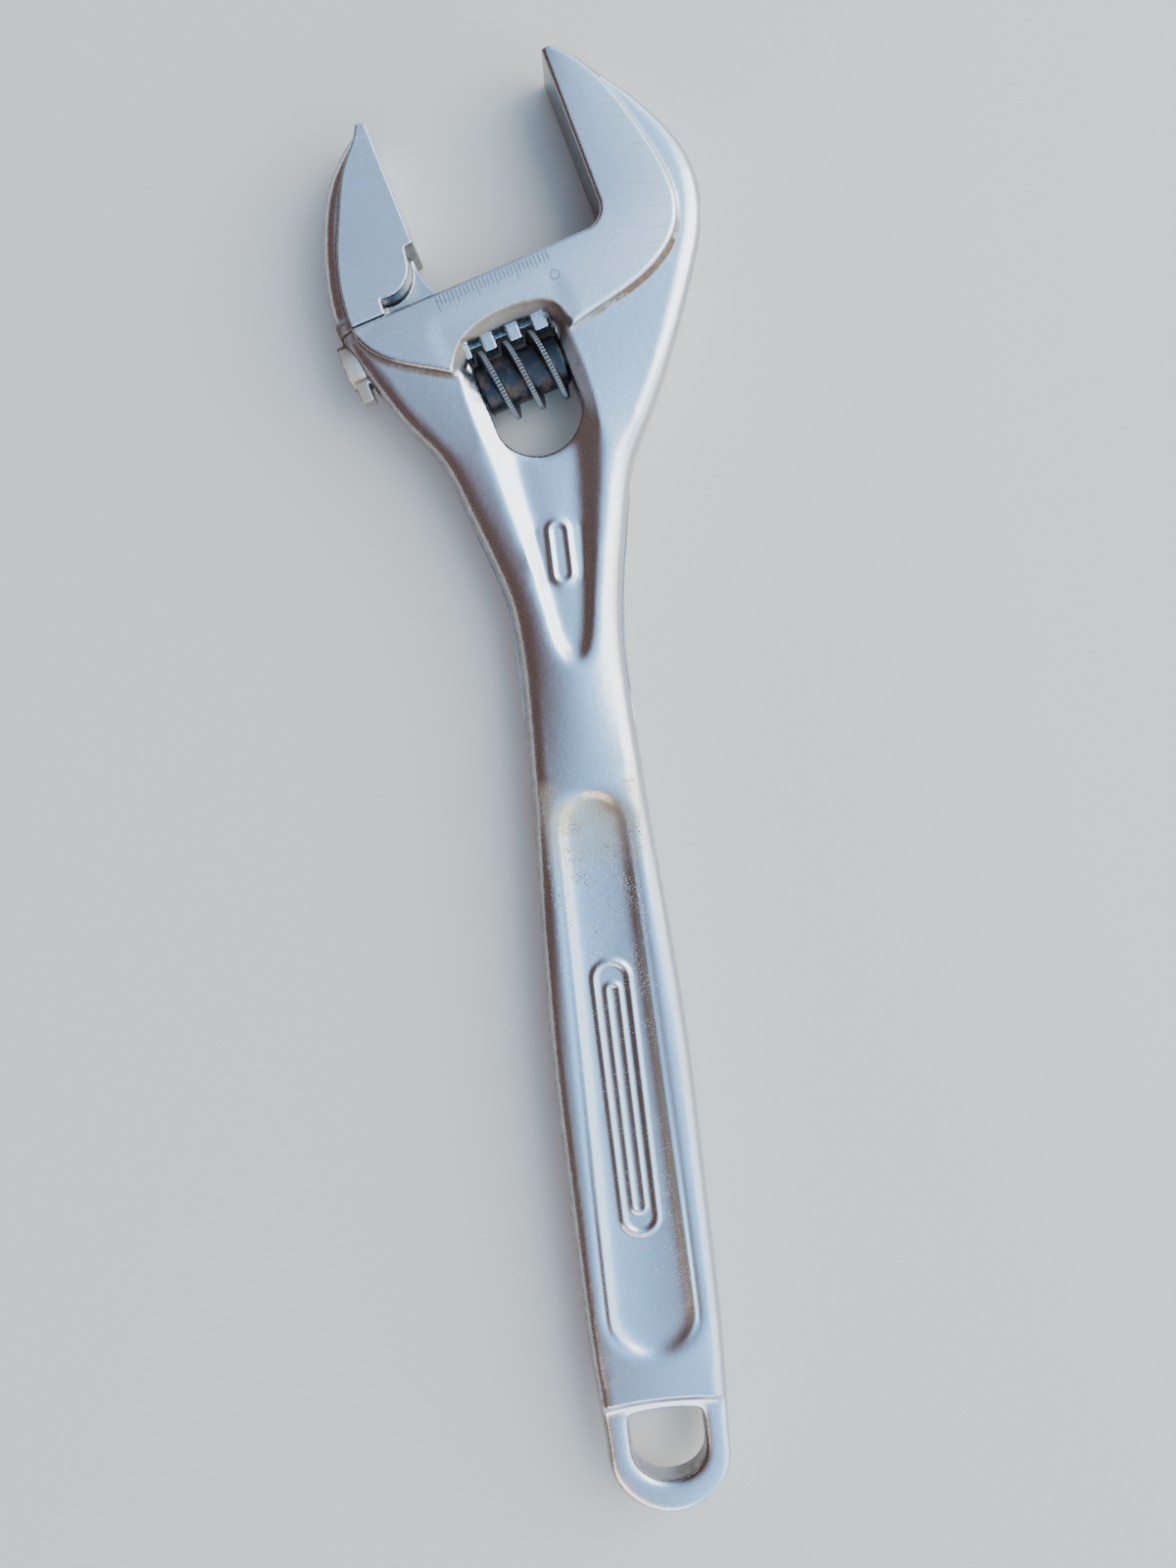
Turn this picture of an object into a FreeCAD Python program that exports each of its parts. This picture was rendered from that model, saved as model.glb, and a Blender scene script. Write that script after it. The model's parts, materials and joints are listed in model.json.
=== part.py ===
import FreeCAD, Part
import math
import os

import Sketcher
from FreeCAD import Placement, Rotation, Vector

# Adjustable wrench: forged body, sliding jaw, knurled worm, worm pin and worm spring.
#
# Frame: +Y runs along the handle from the hang hole to the jaws, +X points to the side of
# the fixed jaw and +Z is up from the surface that the wrench lies on.  Everything is drawn
# about the mid-plane of the forging, with Y = 0 at the end of the handle, and is then moved
# so that the origin is the bottom centre of the whole wrench.
#
# Most of the head is drawn in its own directions: u runs along the slide towards the fixed
# jaw and t towards the jaw tips, with u = t = 0 where the throat meets the fixed jaw's face.

SIZES = {
    # whole wrench
    "overall_length": 378.0,
    "head_angle": 15.0,
    "corner_offset": 20.5,
    "jaw_opening": 44.0,
    # thicknesses of the forging
    "head_thickness": 20.0,
    "flank_thickness": 15.6,
    "handle_thickness": 12.4,
    "ring_thickness": 8.4,
    "forged_edge_radius": 4.2,
    "plateau_edge_radius": 0.8,
    # handle and hang hole
    "ring_radius": 17.0,
    "grip_half_width": 18.5,
    "grip_widest_from_end": 92.0,
    "neck_half_width": 13.8,
    "neck_below_throat": 102.4,
    "ring_step_from_end": 36.7,
    "hang_hole_half_width": 10.2,
    "hang_hole_bottom": 9.6,
    "hang_hole_top": 31.4,
    "hang_hole_edge_radius": 1.5,
    # long pockets in the handle
    "grip_pocket_depth": 2.2,
    "grip_pocket_near_end": 48.2,
    "grip_pocket_below_neck": 31.4,
    "grip_pocket_near_radius": 13.0,
    "grip_pocket_far_radius": 10.0,
    "grip_pocket_wall_angle": 48.0,
    # jaws
    "jaw_depth": 40.5,
    "tip_width": 2.4,
    "throat_length": 68.5,
    "throat_end_inset": 3.0,
    "throat_fillet": 5.0,
    "back_width": 24.2,
    # slide
    "bar_radius": 5.4,
    "bar_depth": 6.0,
    "bar_length": 50.0,
    "bar_overhang": 2.4,
    "web_thickness": 5.4,
    "web_toe": 3.4,
    "slide_clearance": 0.08,
    "slot_clearance": 0.3,
    # rack
    "tooth_pitch": 6.5,
    "tooth_width": 3.2,
    "tooth_height": 4.0,
    "end_tooth_width": 3.7,
    "tooth_gap_count": 8,
    "rack_thickness": 6.6,
    "rack_root_depth": 11.5,
    # worm
    "worm_radius": 9.2,
    "worm_core_radius": 6.0,
    "worm_depth": 23.2,
    "worm_thread_width": 2.0,
    "worm_bore_radius": 2.6,
    "worm_end_play": 0.3,
    "worm_thread_start": 1.6,
    "spring_bore_radius": 4.3,
    "spring_bore_depth": 9.0,
    # window for the worm
    "window_left": 42.1,
    "window_right": 20.2,
    "window_top_depth": 12.1,
    "window_bottom_depth": 43.4,
    "recess_depth": 3.4,
    "recess_rim_slope": 0.14,
    "recess_side_slope": 0.45,
    # pin and spring
    "pin_radius": 2.52,
    "pin_seat_clearance": 0.03,
    "pin_grip_length": 8.0,
    "pin_head_radius": 3.6,
    "pin_head_length": 3.0,
    "pin_slot_width": 1.0,
    "pin_head_depth": 58.0,
    "spring_wire_radius": 0.45,
    "spring_turns": 6.0,
}

doc = FreeCAD.newDocument("AdjustableWrench")
sheet = doc.addObject("Spreadsheet::Sheet", "Sizes")
for row, (alias, value) in enumerate(SIZES.items(), start=1):
    sheet.set(f"A{row}", alias)
    sheet.set(f"B{row}", str(value))
    sheet.setAlias(f"B{row}", alias)
doc.recompute()


def size(alias):
    """Return one driving dimension as a number."""
    return float(sheet.get(alias))


ANGLE = math.radians(size("head_angle"))
ALONG = Vector(math.cos(ANGLE), math.sin(ANGLE), 0)
TOWARDS_TIPS = Vector(-math.sin(ANGLE), math.cos(ANGLE), 0)
JAW_RISE = size("jaw_depth") * math.cos(ANGLE) + size("tip_width") * math.sin(ANGLE)
CORNER = Vector(size("corner_offset"), size("overall_length") - JAW_RISE, 0)
NECK_Y = CORNER.y - size("neck_below_throat")
HEAD_FRAME = Placement(CORNER, Rotation(Vector(0, 0, 1), size("head_angle")))
THROUGH = 200.0


def head(u, t):
    """Return the point of the wrench's own frame that lies at u, t in the head."""
    return CORNER + ALONG * u + TOWARDS_TIPS * t


# ---------------------------------------------------------------- drawing helpers

def new_body(label):
    """Make an empty body whose label names its file."""
    body = doc.addObject("PartDesign::Body", label)
    body.Label = label
    return body


def origin_plane(body, role):
    """Find one of the body's own origin planes by its role."""
    return next(item for item in body.Origin.OriginFeatures if item.Role == role)


def new_sketch(body, name, offset=None, role="XY_Plane"):
    """Make a sketch on one of the body's origin planes."""
    sketch = body.newObject("Sketcher::SketchObject", name)
    sketch.AttachmentSupport = [(origin_plane(body, role), "")]
    sketch.MapMode = "FlatFace"
    if offset is not None:
        sketch.AttachmentOffset = offset
    return sketch


def join(sketch, edges):
    """Add a closed chain of edges to a sketch."""
    for edge in edges:
        sketch.addGeometry(edge, False)


def line(start, end):
    """Return a straight edge."""
    return Part.LineSegment(start, end)


def arc(start, middle, end):
    """Return a round edge through three points."""
    return Part.Arc(start, middle, end)


def curve(points, leave=None, arrive=None):
    """Return a smooth edge through points, with optional end directions."""
    spline = Part.BSplineCurve()
    if leave is None:
        spline.interpolate(Points=points)
    else:
        spline.interpolate(Points=points, InitialTangent=leave, FinalTangent=arrive)
    return spline


def loop(points):
    """Return the straight edges of a closed polygon."""
    return [line(a, b) for a, b in zip(points, points[1:] + points[:1])]


def bind(item, **links):
    """Tie properties of an object to cells of the sheet."""
    for name, formula in links.items():
        item.setExpression(name, formula)


def circle(sketch, centre, alias_formula):
    """Add a circle whose centre is fixed and whose radius is bound to the sheet."""
    index = sketch.addGeometry(Part.Circle(centre, Vector(0, 0, 1), 1.0), False)
    sketch.addConstraint(Sketcher.Constraint("Radius", index, 1.0))
    sketch.setExpression(f"Constraints[{sketch.ConstraintCount - 1}]", alias_formula)


def pad(body, name, sketch, thickness):
    """Pad a sketch evenly to both sides of its plane."""
    feature = body.newObject("PartDesign::Pad", name)
    feature.Profile = sketch
    feature.Midplane = True
    bind(feature, Length=thickness)
    doc.recompute()
    return feature


def cut(body, name, sketch, **settings):
    """Pocket a sketch and check that it takes material away."""
    before = body.Shape.Volume
    feature = body.newObject("PartDesign::Pocket", name)
    feature.Profile = sketch
    for key, value in settings.items():
        if isinstance(value, str) and key != "Type":
            feature.setExpression(key, value)
        else:
            setattr(feature, key, value)
    doc.recompute()
    if not body.Shape.Volume < before - 1e-3:
        raise RuntimeError(f"{name} cuts nothing")
    return feature


def round_edges(body, name, radius, chosen):
    """Fillet the edges of the body's present shape that pass the test."""
    names = [f"Edge{i}" for i, edge in enumerate(body.Shape.Edges, start=1) if chosen(edge)]
    base = body.Tip
    feature = body.newObject("PartDesign::Fillet", name)
    feature.Base = (base, names)
    bind(feature, Radius=radius)
    doc.recompute()
    return feature


def middle(edge):
    """Return the point halfway along an edge."""
    return edge.valueAt((edge.FirstParameter + edge.LastParameter) / 2)


def in_head(point):
    """Return the u, t of a point of the wrench's own frame."""
    step = point - CORNER
    return step.dot(ALONG), step.dot(TOWARDS_TIPS)


# ---------------------------------------------------------------- forged body

def grip_side(side):
    """Return one side of the handle, from the hang ring up to the neck."""
    ring = size("ring_radius")
    grip = size("grip_half_width")
    widest = size("grip_widest_from_end")
    neck = size("neck_half_width")

    def between(rise, share):
        return Vector(side * (grip - share * (grip - neck)), widest + rise * (NECK_Y - widest), 0)

    return [
        Vector(side * ring, ring, 0),
        Vector(side * (0.35 * ring + 0.65 * grip), 0.45 * widest, 0),
        Vector(side * grip, widest, 0),
        between(0.31, 0.07),
        between(0.49, 0.32),
        between(0.68, 0.68),
        between(0.85, 0.92),
        Vector(side * neck, NECK_Y, 0),
    ]


def blank_outline():
    """Return the silhouette of the forging: ring, grip, neck, head and fixed jaw."""
    ring = size("ring_radius")
    neck = size("neck_half_width")
    up = Vector(0, 1, 0)
    back = size("back_width")
    depth = size("jaw_depth")
    fillet = size("throat_fillet")
    left = -size("throat_length")
    tip = head(size("tip_width"), depth)
    right_side = [
        Vector(neck, NECK_Y, 0),
        Vector(neck + 1.3, NECK_Y + 18.0, 0),
        Vector(neck + 4.7, NECK_Y + 36.6, 0),
        Vector(neck + 7.6, NECK_Y + 48.2, 0),
        Vector(neck + 12.2, NECK_Y + 57.2, 0),
        head(back - 21.2, -34.3),
        head(back - 8.5, -17.3),
        head(back - 1.1, -4.0),
        head(back, 7.2),
        head(back - 3.8, depth - 22.3),
        head(back - 8.2, depth - 14.7),
        head(back - 13.0, depth - 8.1),
        head(back - 16.8, depth - 3.1),
        tip,
    ]
    left_side = [
        head(left, 0),
        head(left + 1.8, -10.0),
        head(left + 6.8, -26.5),
        Vector(-neck - 13.3, NECK_Y + 54.1, 0),
        Vector(-neck - 8.4, NECK_Y + 41.6, 0),
        Vector(-neck - 1.9, NECK_Y + 21.5, 0),
        Vector(-neck, NECK_Y, 0),
    ]
    corner = head(fillet * (math.sqrt(0.5) - 1), fillet * (1 - math.sqrt(0.5)))
    return [
        arc(Vector(-ring, ring, 0), Vector(0, 0, 0), Vector(ring, ring, 0)),
        curve(grip_side(1), up, up),
        curve(right_side, up, head(-0.84, 0.54) - CORNER),
        line(tip, head(0, depth)),
        line(head(0, depth), head(0, fillet)),
        arc(head(0, fillet), corner, head(-fillet, 0)),
        line(head(-fillet, 0), head(left, 0)),
        curve(left_side, head(0.02, -1) - CORNER, -up),
        curve(grip_side(-1)[::-1], -up, -up),
    ]


def plateau_outline():
    """Return the raised ground face of the head: throat band, fixed jaw and rim."""
    depth = size("jaw_depth")
    fillet = size("throat_fillet")
    left = size("throat_end_inset") - size("throat_length")
    back = size("back_width")
    corner = head(fillet * (math.sqrt(0.5) - 1), fillet * (1 - math.sqrt(0.5)))
    rim = [head(u, t - size("recess_depth")) for u, t in WINDOW_RIM]
    crescent = [
        head(size("tip_width") - 0.4, depth),
        head(back - 14.4, depth - 10.0),
        head(back - 9.4, depth - 24.3),
        head(back - 7.2, 5.3),
        head(back - 7.4, -2.0),
        head(back - 9.9, -7.4),
        head(back - 16.0, -12.4),
        head(back - 26.2, -15.9),
        rim[0],
    ]
    lens = [
        rim[-1],
        head(left + 10.0, -13.0),
        head(left + 2.9, -7.0),
        head(left, 0),
    ]
    return [
        line(head(left, 0), head(-fillet, 0)),
        arc(head(-fillet, 0), corner, head(0, fillet)),
        line(head(0, fillet), head(0, depth)),
        line(head(0, depth), crescent[0]),
        curve(crescent),
        curve(rim),
        curve(lens),
    ]


WINDOW_RIM = [
    (3.4 - size("window_right"), -15.6),
    (1.2 - size("window_right"), -11.6),
    (-3.9 - size("window_right"), -9.7),
    (-2.5 - (size("window_left") + size("window_right")) / 2, -9.5),
    (1.6 - size("window_left"), -11.4),
    (-3.4 - size("window_left"), -15.9),
]


def window_rim():
    """Return the curved upper edge of the recess, from the fixed jaw's side round."""
    return [head(u, t) for u, t in WINDOW_RIM]


def recess_sides():
    """Return the edge of the recess below its rim, down one side, round its tip and back."""
    left = -size("window_left")
    right = -size("window_right")
    return [
        head(left - 4.1, -28.0),
        head(left - 4.5, -44.3),
        head(left - 5.2, -61.6),
        head(left - 6.6, -78.0),
        head(left - 7.0, -88.0),
        head(left - 5.4, -93.7),
        head(left - 2.9, -95.3),
        head(left + 1.6, -92.4),
        head(left + 5.8, -85.3),
        head(right - 10.7, -74.6),
        head(right - 3.0, -56.5),
        head(right + 1.6, -43.9),
        head(right + 3.1, -30.0),
    ]


def window_outline():
    """Return the opening that the worm sits in."""
    left = -size("window_left")
    right = -size("window_right")
    top = -size("window_top_depth")
    bottom = -size("window_bottom_depth")
    shoulder = bottom + 8.3
    return [
        line(head(left, top), head(left, shoulder)),
        arc(head(left, shoulder), head((left + right) / 2 - 1.5, bottom), head(right, shoulder)),
        line(head(right, shoulder), head(right, top)),
        line(head(right, top), head(left, top)),
    ]


def grip_pocket_outline():
    """Return the long tapering pocket of the handle."""
    near = size("grip_pocket_near_end")
    far = NECK_Y - size("grip_pocket_below_neck")
    near_r = size("grip_pocket_near_radius")
    far_r = size("grip_pocket_far_radius")
    low = Vector(0, near + near_r, 0)
    high = Vector(0, far - far_r, 0)
    lean = math.asin((near_r - far_r) / (high.y - low.y))
    out = Vector(math.cos(lean), math.sin(lean), 0)
    mirrored = Vector(-out.x, out.y, 0)
    return [
        line(low + out * near_r, high + out * far_r),
        arc(high + out * far_r, Vector(0, far, 0), high + mirrored * far_r),
        line(high + mirrored * far_r, low + mirrored * near_r),
        arc(low + mirrored * near_r, Vector(0, near, 0), low + out * near_r),
    ]


def ring_step_outline():
    """Return the area at the end of the handle that is thinned to the hang ring."""
    step = size("ring_step_from_end")
    wide = 2 * size("ring_radius")
    side = step - 0.2 * wide
    return [
        line(Vector(-wide, -wide, 0), Vector(wide, -wide, 0)),
        line(Vector(wide, -wide, 0), Vector(wide, side, 0)),
        arc(Vector(wide, side, 0), Vector(0, step, 0), Vector(-wide, side, 0)),
        line(Vector(-wide, side, 0), Vector(-wide, -wide, 0)),
    ]


def hang_hole_outline():
    """Return the D-shaped hang hole."""
    half = size("hang_hole_half_width")
    low = size("hang_hole_bottom") + half
    top = size("hang_hole_top")
    high = top - 1.2
    return [
        arc(Vector(-half, low, 0), Vector(0, low - half, 0), Vector(half, low, 0)),
        line(Vector(half, low, 0), Vector(half, high, 0)),
        arc(Vector(half, high, 0), Vector(0, top, 0), Vector(-half, high, 0)),
        line(Vector(-half, high, 0), Vector(-half, low, 0)),
    ]


def side_profile(sign):
    """Return the material above or below the handle that the side view takes away."""
    low = sign * size("handle_thickness") / 2
    high = sign * size("flank_thickness") / 2
    start = NECK_Y - 30.0
    rise = CORNER.y - 36.0 - start
    end = start + rise
    behind = -size("overall_length")
    points = [
        Vector(start, low, 0),
        Vector(start + 0.3 * rise, low + 0.16 * (high - low), 0),
        Vector(start + 0.7 * rise, low + 0.84 * (high - low), 0),
        Vector(end, high, 0),
    ]
    away = Vector(1, 0, 0)
    return [
        line(Vector(behind, low, 0), points[0]),
        curve(points, away, away),
        line(points[-1], Vector(end, 3 * high, 0)),
        line(Vector(end, 3 * high, 0), Vector(behind, 3 * high, 0)),
        line(Vector(behind, 3 * high, 0), Vector(behind, low, 0)),
    ]


def on_forged_edge(edge):
    """Tell whether an edge runs round the forging's side wall, off the jaw faces."""
    point = middle(edge)
    u, t = in_head(point)
    if abs(point.z) < 1.0:
        return False
    if t > -0.3 and u < 0.3:
        return False
    if t > size("jaw_depth") - 0.5:
        return False
    return True


body = new_body("body")

sketch = new_sketch(body, "BlankOutline")
join(sketch, blank_outline())
pad(body, "Blank", sketch, "Sizes.flank_thickness")

for name, sign in (("Top", 1), ("Bottom", -1)):
    sketch = new_sketch(body, f"Handle{name}Profile", role="YZ_Plane")
    join(sketch, side_profile(sign))
    cut(body, f"Handle{name}Cut", sketch, Type="ThroughAll", Midplane=True)

round_edges(body, "ForgedEdges", "Sizes.forged_edge_radius", on_forged_edge)

sketch = new_sketch(body, "PlateauOutline")
join(sketch, plateau_outline())
pad(body, "Plateau", sketch, "Sizes.head_thickness")


def on_plateau_rim(edge):
    """Tell whether an edge bounds the ground plateau faces, other than on the slide."""
    point = middle(edge)
    u, t = in_head(point)
    on_face = abs(abs(point.z) - size("head_thickness") / 2) < 0.01
    flat = edge.BoundBox.ZLength < 0.01
    return on_face and flat and not (abs(t) < 0.2 and u < -6)


round_edges(body, "PlateauEdges", "Sizes.plateau_edge_radius", on_plateau_rim)


def mirror_below(feature):
    """Repeat a cut of the top face on the bottom face."""
    mirrored = body.newObject("PartDesign::Mirrored", f"{feature.Name}Below")
    mirrored.Originals = [feature]
    mirrored.MirrorPlane = (origin_plane(body, "XY_Plane"), [""])
    body.Tip = mirrored
    doc.recompute()
    return mirrored


def face_sketch(name, outline, level):
    """Draw an outline on a plane parallel to the mid-plane, its height bound to the sheet."""
    sketch = new_sketch(body, name)
    join(sketch, outline)
    sketch.setExpression("AttachmentOffset.Base.z", level)
    doc.recompute()
    return sketch


def pocket_both_faces(name, outline, level, depth, wall_angle):
    """Sink a pocket with sloping walls into the top face and mirror it below."""
    sketch = face_sketch(f"{name}Outline", outline, level)
    mirror_below(cut(body, name, sketch, Length=depth, TaperAngle=wall_angle))


def towards_spine(point, share):
    """Move a point of the recess outline by a share of its way to the recess's middle line."""
    along = SPINE_END - SPINE_START
    reach = (point - SPINE_START).dot(along) / along.dot(along)
    nearest = SPINE_START + along * min(max(reach, 0.0), 1.0)
    return point + (nearest - point) * share


def recess_ring(rim_share, side_share):
    """Return the recess outline drawn in towards its middle line, as two smooth edges."""
    rim = [towards_spine(point, rim_share) for point in window_rim()]
    sides = [towards_spine(point, side_share) for point in recess_sides()]
    return [curve(rim), curve([rim[-1]] + sides + [rim[0]])]


SPINE_START = head(-(size("window_left") + size("window_right")) / 2, -30.0)
SPINE_END = head(-1.4 - size("window_left"), -86.0)
RISE_OVER_FLANK = (size("head_thickness") - size("flank_thickness")) / 2 / size("recess_depth")
upper = face_sketch(
    "RecessOutline",
    recess_ring(0.0, -RISE_OVER_FLANK * size("recess_side_slope")),
    "Sizes.head_thickness / 2",
)
floor = face_sketch(
    "RecessFloor",
    recess_ring(size("recess_rim_slope"), size("recess_side_slope")),
    "Sizes.flank_thickness / 2 - Sizes.recess_depth",
)
recess = body.newObject("PartDesign::SubtractiveLoft", "Recess")
recess.Profile = upper
recess.Sections = [floor]
doc.recompute()
mirror_below(recess)
pocket_both_faces(
    "GripPocket", grip_pocket_outline(), "Sizes.handle_thickness / 2",
    "Sizes.grip_pocket_depth", "-Sizes.grip_pocket_wall_angle",
)
pocket_both_faces(
    "RingStep", ring_step_outline(), "Sizes.handle_thickness / 2",
    "(Sizes.handle_thickness - Sizes.ring_thickness) / 2", "-Sizes.grip_pocket_wall_angle",
)
for name, outline in (("Window", window_outline()), ("HangHole", hang_hole_outline())):
    sketch = new_sketch(body, f"{name}Outline")
    join(sketch, outline)
    cut(body, name, sketch, Type="ThroughAll", Midplane=True)


def on_hang_hole(edge):
    """Tell whether an edge runs round the mouth of the hang hole."""
    point = middle(edge)
    inside = abs(point.x) < size("hang_hole_half_width") + 0.1
    low = size("hang_hole_bottom") - 0.1
    return inside and abs(point.z) > 1.0 and low < point.y < size("hang_hole_top") + 0.1


round_edges(body, "HangHoleEdges", "Sizes.hang_hole_edge_radius", on_hang_hole)


# ---------------------------------------------------------------- passages in the head

ACROSS_SLIDE = Placement(
    Vector(CORNER.y, 0, CORNER.x), Rotation(Vector(0, 1, 0), size("head_angle")),
)


def slide_sketch(owner, name, u=0.0):
    """Make a sketch square to the slide: its x is t, its y is Z, and it looks along u."""
    offset = ACROSS_SLIDE * Placement(Vector(0, 0, u), Rotation())
    return new_sketch(owner, name, offset, "YZ_Plane")


def slot(name, u_low, u_high, t_low, t_high, width):
    """Cut a slot with flat sides, centred on the mid-plane."""
    sketch = new_sketch(body, f"{name}Outline", HEAD_FRAME)
    join(sketch, loop([
        Vector(u_low, t_low, 0),
        Vector(u_high, t_low, 0),
        Vector(u_high, t_high, 0),
        Vector(u_low, t_high, 0),
    ]))
    cut(body, name, sketch, Length=width, Midplane=True)


BAR_T = -size("bar_depth")
ROOT_T = -size("rack_root_depth")
TIP_T = ROOT_T - size("tooth_height")
WORM_T = -size("worm_depth")

sketch = slide_sketch(body, "BarBoreOutline")
circle(sketch, Vector(BAR_T, 0, 0), "Sizes.bar_radius + Sizes.slide_clearance")
cut(body, "BarBore", sketch, Type="ThroughAll", Midplane=True)
slot(
    "WebSlot", -THROUGH / 2, size("web_toe"), BAR_T, size("web_toe") + 1.8,
    "Sizes.web_thickness + 2 * Sizes.slot_clearance",
)
slot(
    "RackSlot", -THROUGH / 2, THROUGH / 2, TIP_T - size("slot_clearance"), BAR_T,
    "Sizes.rack_thickness + 2 * Sizes.slot_clearance",
)

sketch = slide_sketch(body, "PinHoleOutline", -THROUGH / 2)
circle(sketch, Vector(WORM_T, 0, 0), "Sizes.pin_radius + Sizes.pin_seat_clearance")
pin_end = -size("window_right") + size("pin_grip_length")
cut(body, "PinHole", sketch, Length=THROUGH / 2 + pin_end, Reversed=True)
sketch = slide_sketch(body, "PinHeadHoleOutline", -THROUGH / 2)
circle(sketch, Vector(WORM_T, 0, 0), "Sizes.pin_head_radius + Sizes.pin_seat_clearance")
cut(body, "PinHeadHole", sketch, Length=THROUGH / 2 - size("pin_head_depth"), Reversed=True)


# ---------------------------------------------------------------- sliding jaw

FACE_U = -size("jaw_opening")
FLANK_BACK = [
    (2.4, 0.7),
    (5.2, -0.4),
    (9.4, -3.4),
    (13.0, -6.8),
    (17.1, -12.7),
    (20.3, -19.3),
    (22.9, -26.5),
    (24.8, -35.2),
]
FACE_BACK = [
    (2.2, 0.7),
    (3.6, -1.7),
    (8.3, -6.8),
    (11.3, -11.4),
    (14.4, -17.4),
    (17.2, -23.1),
    (19.3, -29.1),
    (20.6, -35.0),
]


def jaw_profile(back_edge):
    """Return the jaw above the slide, its back drawn through points behind and above its tip."""
    depth = size("jaw_depth")
    bottom = size("slide_clearance")
    foot = FACE_U - 12.4
    back = [Vector(FACE_U - behind, depth + above, 0) for behind, above in back_edge]
    back.append(Vector(back[-1].x - 0.2, bottom, 0))
    return [
        line(Vector(FACE_U, 12.2, 0), Vector(FACE_U, depth, 0)),
        line(Vector(FACE_U, depth, 0), back[0]),
        curve(back),
        line(back[-1], Vector(foot, bottom, 0)),
        line(Vector(foot, bottom, 0), Vector(foot + 0.4, 3.5, 0)),
        arc(Vector(foot + 0.4, 3.5, 0), Vector(FACE_U - 4.6, 5.2, 0), Vector(FACE_U - 2.6, 9.4, 0)),
        line(Vector(FACE_U - 2.6, 9.4, 0), Vector(FACE_U - 2.2, 12.0, 0)),
        line(Vector(FACE_U - 2.2, 12.0, 0), Vector(FACE_U, 12.2, 0)),
    ]


jaw = new_body("sliding_jaw")
sketch = new_sketch(jaw, "JawFlankOutline", HEAD_FRAME)
join(sketch, jaw_profile(FLANK_BACK))
pad(jaw, "JawFlank", sketch, "Sizes.flank_thickness")


def on_jaw_back(edge):
    """Tell whether an edge runs down the back of the sliding jaw."""
    point = middle(edge)
    u, t = in_head(point)
    return abs(point.z) > 1.0 and u < FACE_U - 8.0 and t > 6.0


round_edges(jaw, "JawForgedEdges", "Sizes.forged_edge_radius", on_jaw_back)
sketch = new_sketch(jaw, "JawFaceOutline", HEAD_FRAME)
join(sketch, jaw_profile(FACE_BACK))
pad(jaw, "JawFace", sketch, "Sizes.head_thickness")

toe = FACE_U + size("web_toe") - size("slot_clearance")
heel = FACE_U - 25.0
web_top = 14.0
foot_of_web = Vector(heel, BAR_T, 0)
toe_low = Vector(toe, BAR_T, 0)
toe_high = Vector(toe, 0, 0)
nose = Vector(FACE_U - 1.4, 10.5, 0)
top_front = Vector(FACE_U - 4.0, web_top, 0)
top_back = Vector(FACE_U - 20.0, web_top, 0)
heel_high = Vector(heel, 1.0, 0)
sketch = new_sketch(jaw, "WebOutline", HEAD_FRAME)
join(sketch, [
    line(heel_high, foot_of_web),
    line(foot_of_web, toe_low),
    line(toe_low, toe_high),
    arc(toe_high, Vector(FACE_U - 0.2, 3.9, 0), nose),
    line(nose, top_front),
    line(top_front, top_back),
    line(top_back, heel_high),
])
pad(jaw, "Web", sketch, "Sizes.web_thickness")

bar_start = -size("throat_length") - size("bar_overhang")
sketch = slide_sketch(jaw, "BarOutline", bar_start)
circle(sketch, Vector(BAR_T, 0, 0), "Sizes.bar_radius")
bar = jaw.newObject("PartDesign::Pad", "Bar")
bar.Profile = sketch
bind(bar, Length="Sizes.bar_length")
doc.recompute()

sketch = new_sketch(jaw, "RackOutline", HEAD_FRAME)
bar_end = bar_start + size("bar_length")
join(sketch, loop([
    Vector(bar_start, BAR_T, 0),
    Vector(bar_start, TIP_T, 0),
    Vector(bar_end, TIP_T, 0),
    Vector(bar_end, BAR_T, 0),
]))
pad(jaw, "Rack", sketch, "Sizes.rack_thickness")
gap = size("tooth_pitch") - size("tooth_width")
sketch = new_sketch(jaw, "ToothGapOutline", HEAD_FRAME)
first_gap = bar_end - size("end_tooth_width") - gap
join(sketch, loop([
    Vector(first_gap, ROOT_T, 0),
    Vector(first_gap + gap, ROOT_T, 0),
    Vector(first_gap + gap, TIP_T - 1, 0),
    Vector(first_gap, TIP_T - 1, 0),
]))
tooth_gap = cut(jaw, "ToothGap", sketch, Length="2 * Sizes.bar_radius", Midplane=True)
gaps = jaw.newObject("PartDesign::LinearPattern", "ToothGaps")
gaps.Originals = [tooth_gap]
gaps.Direction = (sketch, ["H_Axis"])
gaps.Reversed = True
gaps.Occurrences = int(size("tooth_gap_count"))
gaps.Length = size("tooth_pitch") * (size("tooth_gap_count") - 1)
jaw.Tip = gaps
doc.recompute()


# ---------------------------------------------------------------- worm

def revolve(owner, name, points):
    """Turn a closed profile of radius and height about the part's own Z axis."""
    sketch = new_sketch(owner, f"{name}Profile", role="XZ_Plane")
    join(sketch, loop([Vector(r, z, 0) for r, z in points]))
    feature = owner.newObject("PartDesign::Revolution", name)
    feature.Profile = sketch
    feature.ReferenceAxis = (sketch, ["V_Axis"])
    feature.Angle = 360
    doc.recompute()
    return feature


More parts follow.
